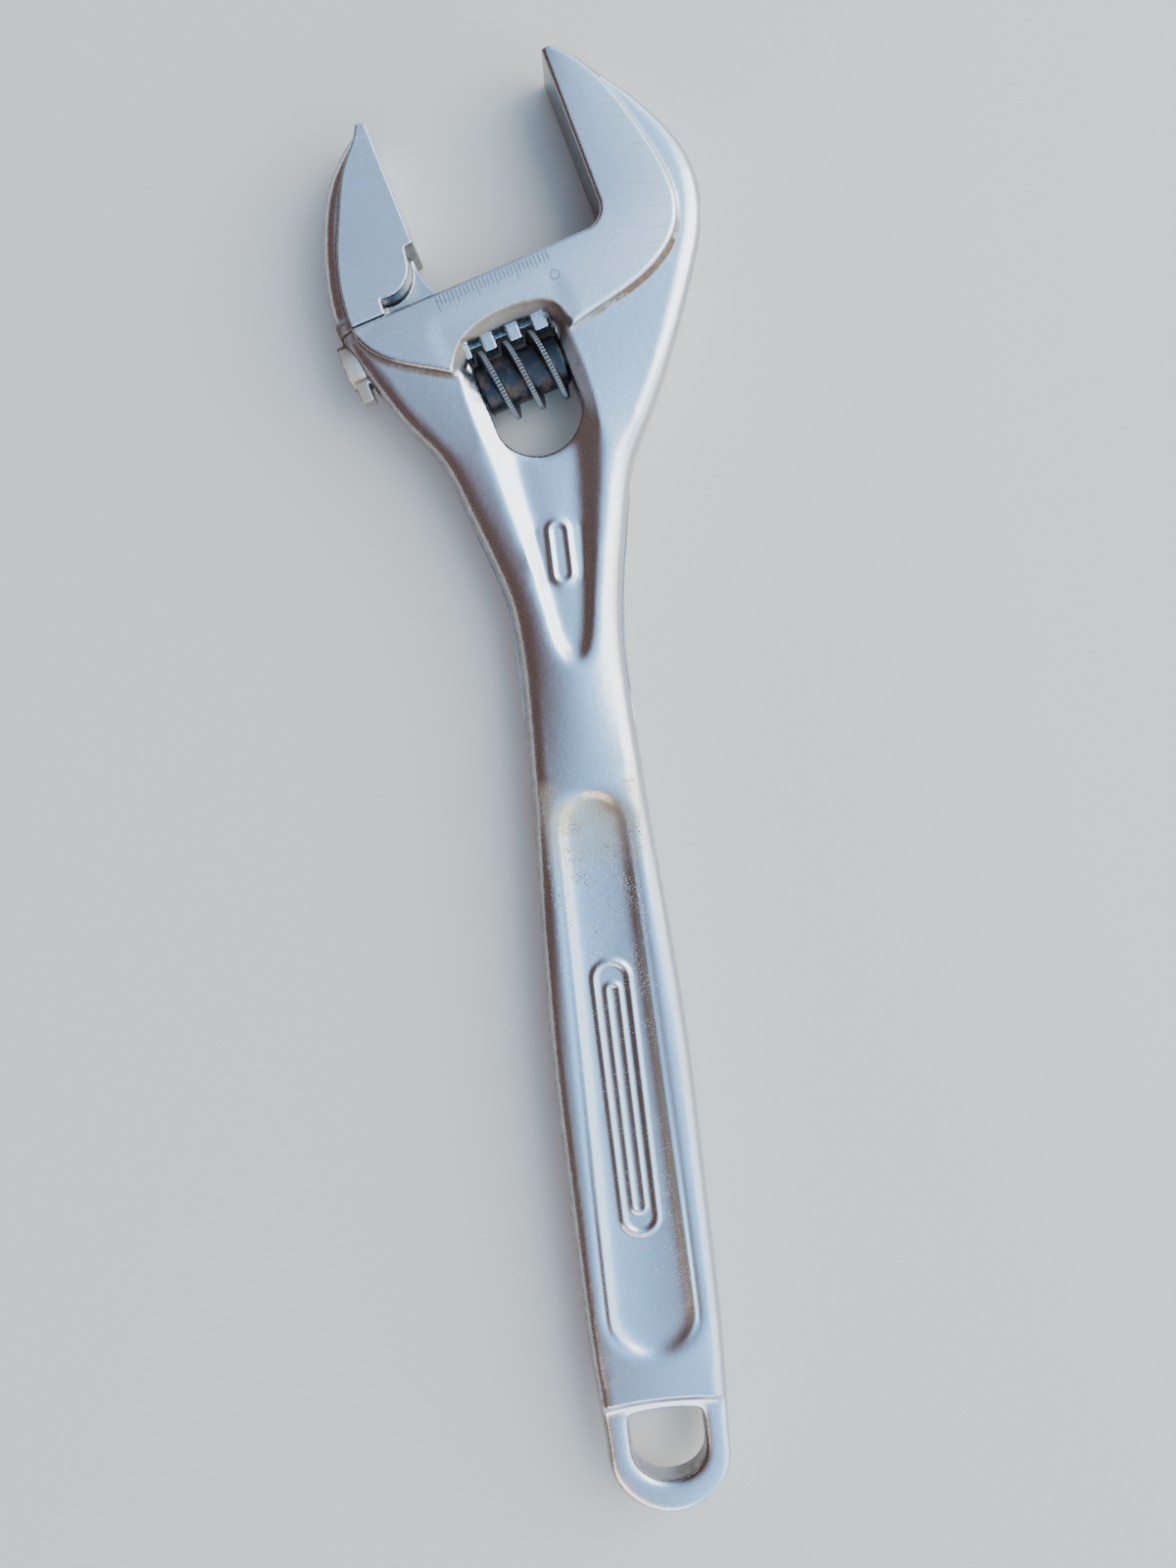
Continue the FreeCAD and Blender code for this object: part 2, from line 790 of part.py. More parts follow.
worm_length = size("window_left") - size("window_right") - 2 * size("worm_end_play")
worm = new_body("worm")
core = size("worm_core_radius")
revolve(worm, "WormCore", [
    (size("worm_bore_radius"), 0),
    (core - 0.5, 0),
    (core, 0.5),
    (core, worm_length - 0.5),
    (core - 0.5, worm_length),
    (size("worm_bore_radius"), worm_length),
])
ridge = size("worm_thread_width") / 2
crest = size("worm_radius")
sketch = new_sketch(worm, "ThreadProfile", role="XZ_Plane")
thread_start = size("worm_thread_start")
join(sketch, loop([
    Vector(core - 0.6, thread_start - ridge - 0.5, 0),
    Vector(crest - 0.4, thread_start - ridge, 0),
    Vector(crest, thread_start - ridge + 0.4, 0),
    Vector(crest, thread_start + ridge - 0.4, 0),
    Vector(crest - 0.4, thread_start + ridge, 0),
    Vector(core - 0.6, thread_start + ridge + 0.5, 0),
]))
thread = worm.newObject("PartDesign::AdditiveHelix", "Thread")
thread.Profile = sketch
thread.ReferenceAxis = (sketch, ["V_Axis"])
thread.Mode = 0
thread.Pitch = size("tooth_pitch")
thread.Height = worm_length - 2 * thread_start
thread.Angle = 0
thread.LeftHanded = False
doc.recompute()


# ---------------------------------------------------------------- pin and spring

pin = new_body("worm_pin")
pin_length = size("pin_head_depth") + pin_end
radius = size("pin_radius")
head_radius = size("pin_head_radius")
head_length = size("pin_head_length")
revolve(pin, "PinShank", [
    (0, 0),
    (head_radius - 0.4, 0),
    (head_radius, 0.4),
    (head_radius, head_length),
    (radius, head_length),
    (radius, pin_length + head_length - 0.8),
    (radius - 0.5, pin_length + head_length - 0.3),
    (0, pin_length + head_length - 0.3),
])
sketch = new_sketch(pin, "DriverSlotOutline", role="XZ_Plane")
half_slot = size("pin_slot_width") / 2
join(sketch, loop([
    Vector(-half_slot, -1, 0),
    Vector(half_slot, -1, 0),
    Vector(half_slot, 1.2, 0),
    Vector(-half_slot, 1.2, 0),
]))
cut(pin, "DriverSlot", sketch, Type="ThroughAll", Midplane=True)

spring_length = size("spring_bore_depth") + size("worm_end_play") - 0.4
wire = size("spring_wire_radius")
spring_radius = (size("spring_bore_radius") + size("worm_bore_radius")) / 2
spring_path = doc.addObject("Part::Helix", "SpringPath")
spring_path.Radius = spring_radius
spring_path.Height = spring_length - 2 * wire
spring_path.Pitch = (spring_length - 2 * wire) / size("spring_turns")
doc.recompute()
spring_wire = doc.addObject("Part::Circle", "SpringWire")
spring_wire.Radius = wire
spring_wire.Placement = Placement(Vector(spring_radius, 0, 0), Rotation(Vector(1, 0, 0), 90))
spring = doc.addObject("Part::Sweep", "worm_spring")
spring.Label = "worm_spring"
spring.Sections = [spring_wire]
spring.Spine = (spring_path, [])
spring.Solid = True
spring.Frenet = True
doc.recompute()

groove = new_sketch(worm, "SpringBoreProfile", role="XZ_Plane")
join(groove, loop([
    Vector(0, -1, 0),
    Vector(size("spring_bore_radius"), -1, 0),
    Vector(size("spring_bore_radius"), size("spring_bore_depth"), 0),
    Vector(0, size("spring_bore_depth"), 0),
]))
spring_bore = worm.newObject("PartDesign::Groove", "SpringBore")
spring_bore.Profile = groove
spring_bore.ReferenceAxis = (groove, ["V_Axis"])
spring_bore.Angle = 360
doc.recompute()


# ---------------------------------------------------------------- places and files

def on_worm_axis(u, turn=0.0):
    """Return the placement that lays a part's own Z axis along the worm axis."""
    lay = Rotation(Vector(0, 0, 1), size("head_angle")) * Rotation(Vector(0, 1, 0), 90)
    return Placement(head(u, WORM_T), lay * Rotation(Vector(0, 0, 1), turn))


worm_start = -size("window_left") + size("worm_end_play")
meshing_gap = first_gap + gap / 2
thread_turn = 360 * (worm_start + thread_start - meshing_gap) / size("tooth_pitch")
pieces = {
    "body": (body, Placement()),
    "sliding_jaw": (jaw, Placement()),
    "worm": (worm, on_worm_axis(worm_start, 90 + thread_turn)),
    "worm_pin": (pin, on_worm_axis(-size("pin_head_depth") - head_length)),
    "worm_spring": (spring, on_worm_axis(-size("window_left") + 0.2 + wire)),
}
for item, place in pieces.values():
    item.Placement = place
doc.recompute()

whole = FreeCAD.BoundBox()
for item, place in pieces.values():
    whole.add(item.Shape.optimalBoundingBox(False, False))
to_origin = Placement(Vector(-whole.Center.x, -whole.Center.y, -whole.ZMin), Rotation())
for item, place in pieces.values():
    item.Placement = to_origin * place
doc.recompute()

for item in doc.Objects:
    if "Invalid" in item.State or "Error" in item.State:
        raise RuntimeError(f"{item.Label} failed: {item.State}")
os.makedirs("parts", exist_ok=True)
for name, (item, place) in pieces.items():
    if item.Shape.isNull() or not item.Shape.isValid() or len(item.Shape.Solids) != 1:
        raise RuntimeError(f"{name} has no single valid solid")
    item.Shape.exportStep(f"parts/{name}.step")
print(f"origin shift: {to_origin.Base}")
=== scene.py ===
import bmesh
import bpy
import json
import math
import numpy as np
from mathutils import Matrix, Vector


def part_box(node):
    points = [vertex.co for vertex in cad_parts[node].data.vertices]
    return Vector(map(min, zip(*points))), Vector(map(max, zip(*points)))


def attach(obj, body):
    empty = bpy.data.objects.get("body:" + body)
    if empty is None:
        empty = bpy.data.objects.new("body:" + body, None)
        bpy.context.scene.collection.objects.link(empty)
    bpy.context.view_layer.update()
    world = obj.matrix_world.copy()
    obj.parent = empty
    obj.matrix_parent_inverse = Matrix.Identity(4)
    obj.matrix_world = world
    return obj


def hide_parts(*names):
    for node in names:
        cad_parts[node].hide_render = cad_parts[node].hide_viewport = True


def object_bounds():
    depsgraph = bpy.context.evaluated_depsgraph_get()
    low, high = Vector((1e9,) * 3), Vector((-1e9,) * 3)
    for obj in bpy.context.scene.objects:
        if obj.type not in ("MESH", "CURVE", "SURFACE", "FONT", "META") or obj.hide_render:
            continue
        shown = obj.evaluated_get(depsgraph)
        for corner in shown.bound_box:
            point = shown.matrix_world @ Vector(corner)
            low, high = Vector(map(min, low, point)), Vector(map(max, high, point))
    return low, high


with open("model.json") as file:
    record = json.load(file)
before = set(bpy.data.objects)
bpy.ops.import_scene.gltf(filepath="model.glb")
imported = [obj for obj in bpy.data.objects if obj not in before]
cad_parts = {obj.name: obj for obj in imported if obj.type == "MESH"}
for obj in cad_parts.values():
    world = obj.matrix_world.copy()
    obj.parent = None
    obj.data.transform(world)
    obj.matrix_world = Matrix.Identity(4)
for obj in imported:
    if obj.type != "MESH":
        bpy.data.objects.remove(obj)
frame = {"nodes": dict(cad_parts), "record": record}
cad_low, cad_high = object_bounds()

MM = 0.001
scene = bpy.context.scene

# ---------------------------------------------------------------- places taken from the frame
MOUNTS = {mount["name"]: mount for mount in frame["record"]["mounts"]}
SLIDE = Vector(MOUNTS["sliding_jaw_face"]["axis"]).normalized()
UP = Vector((0, 0, 1))
TIPWARD = UP.cross(SLIDE)
JAW_FACE_UP = 22
CORNER = Vector(MOUNTS["fixed_jaw_face"]["pos_m"]) - TIPWARD * JAW_FACE_UP * MM
MID_Z = CORNER.z
HEAD_TOP = (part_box("body")[1][2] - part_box("body")[0][2]) / 2 / MM
CENTRE_X = MOUNTS["hang_hole"]["pos_m"][0] / MM
HANDLE_END = cad_low[1] / MM
OPENING = 44


def head_coordinates(points):
    """Return u along the slide, t towards the jaw tips and z from the mid-plane, in mm."""
    offset = points - np.array(CORNER)
    u = offset @ np.array(SLIDE) / MM
    t = offset @ np.array(TIPWARD) / MM
    z = offset[:, 2] / MM
    return u, t, z


def head_place(u, t):
    """Return the point of the mid-plane at u along the slide and t towards the tips, in mm."""
    return CORNER + (SLIDE * u + TIPWARD * t) * MM


def along_handle(points):
    """Return the distance from the end of the handle, in mm."""
    return (points[:, 1] - cad_low[1]) / MM


def link(name, mesh):
    """Add a mesh to the scene under a name."""
    piece = bpy.data.objects.new(name, mesh)
    scene.collection.objects.link(piece)
    return piece


# ---------------------------------------------------------------- mesh helpers
def voxel_copy(name, node, voxel, extra=None):
    """Return a new piece with the node's shape, made of small even faces."""
    source = frame["nodes"][node]
    mesh = source.data.copy()
    if extra is not None:
        build = bmesh.new()
        build.from_mesh(mesh)
        build.from_mesh(extra)
        build.to_mesh(mesh)
        build.free()
    piece = link(name, mesh)
    weld = piece.modifiers.new("weld", "WELD")
    weld.merge_threshold = 0.01 * MM
    remesh = piece.modifiers.new("remesh", "REMESH")
    remesh.mode = "VOXEL"
    remesh.voxel_size = voxel
    remesh.adaptivity = 0
    graph = bpy.context.evaluated_depsgraph_get()
    result = bpy.data.meshes.new_from_object(piece.evaluated_get(graph))
    piece.modifiers.clear()
    piece.data = result
    bpy.data.meshes.remove(mesh)
    result.name = name
    result.materials.clear()
    return piece


def read_points(mesh):
    points = np.empty(len(mesh.vertices) * 3, np.float64)
    mesh.vertices.foreach_get("co", points)
    return points.reshape(-1, 3)


def read_edges(mesh):
    edges = np.empty(len(mesh.edges) * 2, np.int64)
    mesh.edges.foreach_get("vertices", edges)
    return edges.reshape(-1, 2)


def neighbour_mean(values, edges, count):
    """Return the mean of each vertex's neighbours, for one value or several per vertex."""
    columns = values.reshape(len(values), -1)
    total = np.empty_like(columns)
    for i in range(columns.shape[1]):
        total[:, i] = (
            np.bincount(edges[:, 0], columns[edges[:, 1], i], len(values))
            + np.bincount(edges[:, 1], columns[edges[:, 0], i], len(values))
        )
    return (total / count[:, None]).reshape(values.shape)


def smooth(points, edges, weight, rounds, hold=0.53):
    """Smooth without shrinking: each round draws points in and then pushes them out."""
    count = np.bincount(edges.ravel(), minlength=len(points)).astype(float)
    for _ in range(rounds):
        for step in (0.5, -hold):
            delta = neighbour_mean(points, edges, count) - points
            points = points + delta * (step * weight)[:, None]
    return points


def write_points(mesh, points):
    mesh.vertices.foreach_set("co", points.ravel())
    mesh.update()


def paint(mesh, name, values):
    """Store one number per vertex for the materials."""
    layer = mesh.attributes.new(name, "FLOAT", "POINT")
    layer.data.foreach_set("value", np.clip(values, 0, 1).astype(np.float32))


def step_up(values, low, high):
    """Return 0 below low, 1 above high and a smooth rise between."""
    s = np.clip((values - low) / (high - low), 0, 1)
    return s * s * (3 - 2 * s)


def bend_of(points, edges, normals, reach):
    """Return how hollow (+) or proud (-) the surface is, averaged over some rings."""
    count = np.bincount(edges.ravel(), minlength=len(points)).astype(float)
    offset = neighbour_mean(points, edges, count) - points
    bend = np.einsum("ij,ij->i", offset, normals) / MM
    for _ in range(reach):
        bend = neighbour_mean(bend, edges, count)
    return bend


def read_normals(mesh):
    normals = np.empty(len(mesh.vertices) * 3, np.float64)
    mesh.vertices.foreach_get("normal", normals)
    return normals.reshape(-1, 3)


def shade_smooth(piece):
    for polygon in piece.data.polygons:
        polygon.use_smooth = True


# ---------------------------------------------------------------- wear and painted shade
def around(values, centre, reach):
    """Return 1 within half the reach of a centre, fading to 0 at the reach."""
    return 1 - step_up(np.abs(values - centre), 0.5 * reach, reach)


def weather_and_shade(mesh, points, normals, crease):
    """Paint where rust, warm tint and pits lie, and where the side walls and the sliding jaw's curved
    cut-out get painted shade.
    """
    u, t, z = head_coordinates(points)
    slope = 1 - step_up(np.abs(normals[:, 2]), 0.90, 0.97)
    crescent = crease * step_up(-t, 1.0, 9.0) * step_up(u, -19.0, -16.0)
    crescent = crescent * (0.35 + 0.65 * around(u, 4.0, 18.0)) * (1 - step_up(t, -4.0, 4.0))
    beside = 1 - step_up(-t, 18.0, 26.0)
    lens = crease * (1 - step_up(u, -47.0, -44.0)) * step_up(-t, 0.5, 4.0) * beside
    rim = slope * step_up(np.abs(z), 5.0, 6.5) * (1 - step_up(np.abs(u + 32.0), 14.0, 17.0))
    rim = rim * step_up(t, -19.0, -14.0) * (1 - step_up(t, -9.5, -8.5))
    wall = slope * step_up(np.abs(z), 3.0, 5.0) * step_up(u, -20.5, -19.0) * (1 - step_up(u, -17.5, -16.0))
    wall = wall * step_up(t, -42.0, -30.0) * (1 - step_up(t, -16.0, -13.0))
    foot = around(u, -68.5, 5.0) * around(t, 0.3, 3.4)
    bar_end = (1 - step_up(u, -68.5, -66.0)) * step_up(-t, 1.0, 3.0) * beside
    rust = np.maximum.reduce([crescent, lens * 0.9, rim * 0.5, wall * 0.5, foot, bar_end * 0.4])
    paint(mesh, "rust", rust)
    # painted shade: side walls are marked for a dark warm brown, most where they face left, as a painted
    # reflection of dark surroundings; the curved cut-out of the sliding jaw gets painted shade too
    shaded_flank = 1 - step_up(np.abs(normals[:, 2]), 0.55, 0.85)
    leftward = step_up(-normals[:, 0], -0.35, 0.35)
    shaded_notch = (1 - step_up(np.abs(normals[:, 2]), 0.80, 0.97)) * around(u, -48.5, 10.0) * around(t, 7.0, 11.0)
    paint(mesh, "shaded_flank", np.maximum(shaded_flank * (0.25 + 0.75 * leftward), shaded_notch))
    y = along_handle(points)
    between = 1 - step_up(np.abs(points[:, 0] / MM - CENTRE_X), 11.5, 13.5)
    between = between * (1 - step_up(np.abs(z), 5.4, 6.1))
    pocket = step_up(y, 176.0, 200.0) * (1 - step_up(y, 205.0, 209.0)) * between
    right_wall = slope * step_up(points[:, 0] / MM, 9.0, 12.0) * step_up(y, 52.0, 62.0)
    right_wall = right_wall * (1 - step_up(y, 160.0, 190.0)) * (1 - step_up(points[:, 0] / MM, 15.5, 16.5))
    paint(mesh, "tint", np.maximum.reduce([pocket * 0.9, right_wall * 0.75, rim * 0.8, bar_end * 0.7]))
    speckled = between * step_up(y, 50.0, 70.0) * (1 - step_up(y, 205.0, 209.0))
    paint(mesh, "pits", speckled * (0.25 + 0.75 * step_up(y, 130.0, 195.0)))


# ---------------------------------------------------------------- raised shapes of the forging
POCKET_FLOOR = 4.0
RECESS_FLOOR = 4.4
LONG_BEAD_UP = 121.5
SHORT_BEAD = (-38.6, -66.5)
LAPPED = 0.998
SOFT_ROUNDS = 50
TROUGH_RISE = 0.9
WINDOW_HOLLOW = 0.22


def stadium(cx, cy, half_length, radius, count=24):
    """Return the points of a rounded bar that runs along the handle."""
    points = []
    for end, start in ((1, 0.0), (-1, math.pi)):
        for i in range(count + 1):
            angle = start + math.pi * i / count
            points.append((cx + radius * math.cos(angle), cy + end * half_length + radius * math.sin(angle)))
    return points


def raised_ring(build, outline, level, width, height):
    """Add a closed rounded bead along a closed outline."""
    count = len(outline)
    section = 10
    rows = []
    for i, (x, y) in enumerate(outline):
        before = Vector(outline[i - 1])
        after = Vector(outline[(i + 1) % count])
        along = (after - before).normalized()
        across = Vector((along.y, -along.x))
        row = []
        for k in range(section):
            angle = 2 * math.pi * k / section
            side = across * (0.5 * width * math.cos(angle))
            row.append(build.verts.new((
                (x + side.x) * MM, (y + side.y) * MM, (level + height * math.sin(angle)) * MM,
            )))
        rows.append(row)
    for i in range(count):
        for k in range(section):
            a, b = rows[i], rows[(i + 1) % count]
            build.faces.new((a[k], b[k], b[(k + 1) % section], a[(k + 1) % section]))


def forging_marks():
    """Return plain raised beads: a long one in the handle pocket and a short one in the recess."""
    build = bmesh.new()
    for sign in (1, -1):
        pocket = MID_Z / MM + sign * POCKET_FLOOR
        raised_ring(build, stadium(CENTRE_X, HANDLE_END + LONG_BEAD_UP, 33.0, 4.6), pocket, 1.5, 0.75)
        raised_ring(build, stadium(CENTRE_X, HANDLE_END + LONG_BEAD_UP, 30.0, 1.6), pocket, 1.3, 0.5)
        recess = MID_Z / MM + sign * RECESS_FLOOR
        place = head_place(*SHORT_BEAD) / MM
        raised_ring(build, stadium(place.x, place.y, 5.2, 2.3, 16), recess, 1.2, 0.6)
    bmesh.ops.recalc_face_normals(build, faces=build.faces)
    mesh = bpy.data.meshes.new("marks")
    build.to_mesh(mesh)
    build.free()
    return mesh


def crowned(points):
    """Lower the long faces of the neck and the handle towards their sides."""
    y = along_handle(points)
    x = points[:, 0] / MM
    rows = np.floor(y / 2).astype(int)
    low = np.full(rows.max() + 1, np.inf)
    high = np.full(rows.max() + 1, -np.inf)
    np.minimum.at(low, rows, x)
    np.maximum.at(high, rows, x)
    kernel = np.ones(9) / 9
    low = np.convolve(np.pad(low, 4, mode="edge"), kernel, "valid")
    high = np.convolve(np.pad(high, 4, mode="edge"), kernel, "valid")
    at = np.arange(len(low)) * 2 + 1
    left = np.interp(y, at, low)
    right = np.interp(y, at, high)
    across = np.clip((2 * x - left - right) / (right - left), -1, 1)
    amount = 0.95 + 1.9 * step_up(y, 195.0, 235.0) - 2.4 * step_up(y, 265.0, 322.0)
    amount = np.clip(amount, 0, None) * (0.5 + 0.5 * step_up(y, 34.0, 42.0))
    rise = np.abs(points[:, 2] / MM - MID_Z / MM)
    depth = amount * across ** 2 * step_up(rise, 0.5, 4.0)
    floor = (1 - step_up(rise, 4.6, 6.0)) * step_up(rise, 2.0, 3.5) * step_up(y, 46.0, 52.0)
    floor = floor * (1 - step_up(y, 200.0, 206.0)) * (1 - step_up(np.abs(x - CENTRE_X), 11.5, 13.0))
    depth = depth - floor * TROUGH_RISE * ((x - CENTRE_X) / 10.0) ** 2
    u, t, _ = head_coordinates(points)
    gap = np.hypot(np.maximum(np.maximum(-44.5 - u, u + 17.8), 0), np.maximum(t + 9.5, 0))
    rim = (1 - step_up(gap, 0.0, 5.5)) * step_up(rise, 7.0, 8.5) * step_up(t, -24.0, -16.0)
    depth = depth + WINDOW_HOLLOW * rim
    result = points.copy()
    result[:, 2] -= np.sign(points[:, 2] - MID_Z) * depth * MM
    result[:, 2] = MID_Z + (result[:, 2] - MID_Z) * LAPPED
    return result


def softened(points, edges):
    """Round the walls of the handle pocket and of the recess into troughs, but keep the beads sharp."""
    y = along_handle(points)
    x = points[:, 0] / MM - CENTRE_X
    z = np.abs(points[:, 2] - MID_Z) / MM
    inside = 1 - step_up(np.abs(x), 14.0, 15.5)
    bead = (1 - step_up(np.abs(x), 5.6, 7.5)) * (1 - step_up(np.abs(y - LONG_BEAD_UP), 39.0, 42.0))
    pocket = step_up(y, 43.0, 46.0) * (1 - step_up(y, 207.0, 211.0)) * inside * (1 - bead)
    u, t, _ = head_coordinates(points)
    bead = 1 - step_up(np.hypot(u - SHORT_BEAD[0], t - SHORT_BEAD[1]), 8.0, 10.0)
    recess = step_up(y, 228.0, 234.0) * (1 - step_up(y, 286.0, 294.0)) * (1 - bead)
    ring = 0.8 * (1 - step_up(y, 33.0, 35.5))
    weight = np.maximum.reduce([pocket, recess, ring]) * step_up(z, 1.5, 3.0)
    count = np.bincount(edges.ravel(), minlength=len(points)).astype(float)
    for _ in range(SOFT_ROUNDS):
        delta = neighbour_mean(points, edges, count) - points
        points = points + delta * (0.6 * weight)[:, None]
    return points


# ---------------------------------------------------------------- body and jaw
def forged_skin(name, node, voxel, rounds, crispness, extra=None, shape=None):
    """Remesh a forging finely, soften its forged edges and keep its ground faces flat."""
    piece = voxel_copy(name, node, voxel, extra)
    mesh = piece.data
    points = read_points(mesh)
    edges = read_edges(mesh)
    u, t, z = head_coordinates(points)
    weight = crispness(u, t, z)
    points = smooth(points, edges, np.full(len(points), 1.0), 2)
    points = smooth(points, edges, weight, rounds, 0.51)
    if shape is not None:
        points = shape(softened(points, edges))
    write_points(mesh, points)
    normals = read_normals(mesh)
    bend = bend_of(points, edges, normals, 2)
    size = voxel / MM
    paint(mesh, "crease", step_up(bend, 0.01 * size, 0.10 * size))
    paint(mesh, "edge", step_up(-bend, 0.01 * size, 0.12 * size))
    flat = np.abs(normals[:, 2])
    paint(mesh, "ground", step_up(np.abs(z), HEAD_TOP - 0.5, HEAD_TOP - 0.15) * step_up(flat, 0.9, 0.98))
    near = bend_of(points, edges, normals, 5)
    weather_and_shade(mesh, points, normals, step_up(near, 0.004 * size, 0.035 * size))
    shade_smooth(piece)
    return piece


def plateau_crispness(z):
    """Return how far the ground faces of the head may be smoothed."""
    return 1 - step_up(np.abs(z), HEAD_TOP - 1.0, HEAD_TOP - 0.4) * 0.75


def body_crispness(u, t, z):
    """Keep the jaw face, the throat and the bores of the body sharp."""
    jaw_face = (1 - step_up(np.abs(u), 0.2, 1.2)) * step_up(t, 0, 3)
    throat = (1 - step_up(np.abs(t), 0.2, 1.2)) * step_up(-u, 0, 3)
    inside = (1 - step_up(np.abs(z), 5.5, 7.5)) * step_up(t, -24, -20)
    return np.clip(plateau_crispness(z) - jaw_face - throat - inside, 0.0, 1)


def jaw_crispness(u, t, z):
    """Keep the sliding jaw's face and its slide sharp."""
    face = (1 - step_up(np.abs(u + OPENING), 0.2, 1.0)) * step_up(t, 8, 11)
    slide = 1 - step_up(t, 0.6, 1.8)
    return np.clip(plateau_crispness(z) - face - slide, 0.0, 1)


BODY_VOXEL = 0.4 * MM
BODY_ROUNDS = 14
JAW_VOXEL = 0.3 * MM
JAW_ROUNDS = 8

body = forged_skin("body_skin", "body", BODY_VOXEL, BODY_ROUNDS, body_crispness, forging_marks(), crowned)
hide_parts("body")
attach(body, "body")
jaw = forged_skin("jaw_skin", "sliding_jaw", JAW_VOXEL, JAW_ROUNDS, jaw_crispness)
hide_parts("sliding_jaw")
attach(jaw, "sliding_jaw")


# ---------------------------------------------------------------- worm
WORM_PITCH = 6.5
CREST_RADIUS = 9.15
CORE_RADIUS = 6.0
BORE_RADIUS = 2.6
SPRING_RADIUS = 4.3
SPRING_DEPTH = 9.0
SERRATIONS = 64
SERRATION_DEPTH = 0.42


def worm_axis():
    """Return a point on the worm's axis and the worm's reach along it, in mm."""
    low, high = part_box("worm")
    centre = np.array((low + high) / 2)
    points = read_points(frame["nodes"]["worm"].data)
    along = (points - centre) @ np.array(SLIDE) / MM
    return centre, along.min(), along.max()


def worm_phase(centre):
    """Return where the ridge of the CAD worm crosses zero turn, in mm along the axis."""
    points = read_points(frame["nodes"]["worm"].data) - centre
    along = points @ np.array(SLIDE) / MM
    side = points @ np.array(TIPWARD) / MM
    rise = points[:, 2] / MM
    radius = np.hypot(side, rise)
    crest = radius > radius.max() - 0.15
    turn = np.arctan2(rise[crest], side[crest])
    best = (0, 0.0, 1)
    for hand in (1, -1):
        shift = along[crest] - hand * WORM_PITCH * turn / (2 * math.pi)
        wave = np.exp(2j * math.pi * shift / WORM_PITCH).mean()
        if abs(wave) > best[0]:
            best = (abs(wave), np.angle(wave) / (2 * math.pi) * WORM_PITCH, hand)
    return best[1], best[2]


def worm_skin():
    """Build the worm: a core with one helical ridge whose crest is serrated, bored through."""
    centre, low, high = worm_axis()
    phase, hand = worm_phase(centre)
    around_count = SERRATIONS * 6
    steps = 150
    turn = np.arange(around_count) * 2 * math.pi / around_count
    along = np.linspace(low, high, steps)
    grid_x, grid_turn = np.meshgrid(along, turn, indexing="ij")
    offset = grid_x - phase - hand * WORM_PITCH * grid_turn / (2 * math.pi)
    offset = (offset + WORM_PITCH / 2) % WORM_PITCH - WORM_PITCH / 2
    ridge = 1 - step_up(np.abs(offset), 0.52, 1.15)
    end = np.minimum(grid_x - low, high - grid_x)
    ridge = ridge * step_up(end, 0.35, 1.1)
    crest = 1 - step_up(np.abs(offset), 0.35, 0.75)
    serration = (0.5 - 0.5 * np.cos(SERRATIONS * grid_turn)) ** 2
    radius = CORE_RADIUS + (CREST_RADIUS - CORE_RADIUS) * ridge
    radius = radius - SERRATION_DEPTH * crest * ridge * serration
    radius = radius - 0.5 * (1 - step_up(end, 0.0, 0.5))
    step = low + SPRING_DEPTH
    inner = [(high, BORE_RADIUS), (step, BORE_RADIUS), (step, SPRING_RADIUS), (low, SPRING_RADIUS)]
    rows_x = np.vstack([grid_x] + [np.full((1, around_count), x) for x, _ in inner])
    rows_r = np.vstack([radius] + [np.full((1, around_count), r) for _, r in inner])
    turns = np.vstack([grid_turn] + [turn[None, :]] * len(inner))
    places = (
        centre
        + rows_x[..., None] * MM * np.array(SLIDE)
        + (rows_r * np.cos(turns))[..., None] * MM * np.array(TIPWARD)
        + (rows_r * np.sin(turns))[..., None] * MM * np.array(UP)
    ).reshape(-1, 3)
    rows = len(rows_x)
    a = np.arange(rows)[:, None] * around_count + np.arange(around_count)[None, :]
    b = np.roll(a, -1, axis=1)
    c = np.roll(b, -1, axis=0)
    d = np.roll(a, -1, axis=0)
    faces = np.stack([a, b, c, d], axis=-1).reshape(-1, 4)
    mesh = bpy.data.meshes.new("worm_skin")
    mesh.from_pydata(places.tolist(), [], faces.tolist())
    mesh.update()
    build = bmesh.new()
    build.from_mesh(mesh)
    bmesh.ops.recalc_face_normals(build, faces=build.faces)
    build.to_mesh(mesh)
    build.free()
    worn = np.zeros((rows, around_count))
    worn[:steps] = ridge * (0.35 + 0.65 * crest * (1 - serration))
    paint(mesh, "worn", worn.ravel())
    piece = link("worm_skin", mesh)
    shade_smooth(piece)
    return piece


worm = worm_skin()
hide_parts("worm")
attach(worm, "worm")


# ---------------------------------------------------------------- scale on the throat, dark lines partly painted shade
SCALE_TOP = HEAD_TOP * LAPPED + 0.012
SCALE_DEPTH = 0.3
FIRST_LINE = -43.8
LINE_COUNT = 29
LINE_START = -1.1
LINE_WIDTH = 0.15
ZERO_RING = (-15.7, -6.9)
ZERO_RADII = (1.12, 0.96)
ZERO_SIDES = 28


def solid_between(build, outline):
    """Close an outline into a thin solid that is sunk in the ground face."""
    top = [build.verts.new(place + UP * SCALE_TOP * MM) for place in outline]
    bottom = [build.verts.new(place + UP * (SCALE_TOP - SCALE_DEPTH) * MM) for place in outline]
    count = len(outline)
    build.faces.new(top)
    build.faces.new(bottom[::-1])
    for i in range(count):
        j = (i + 1) % count
        build.faces.new((top[j], top[i], bottom[i], bottom[j]))


def line_on_throat(build, u, length):
    """Add one thin filled line, square to the throat's edge."""
    left, right = u - LINE_WIDTH / 2, u + LINE_WIDTH / 2
    end = LINE_START - length
    corners = ((left, end), (right, end), (right, LINE_START), (left, LINE_START))
    solid_between(build, [head_place(*corner) for corner in corners])


def is_inner_wall(face):
    """Tell whether another face has the same corners, as between two parts of the ring."""
    corners = {vert.index for vert in face.verts}
    return any(
        other is not face and {vert.index for vert in other.verts} == corners
        for edge in face.edges for other in edge.link_faces
    )


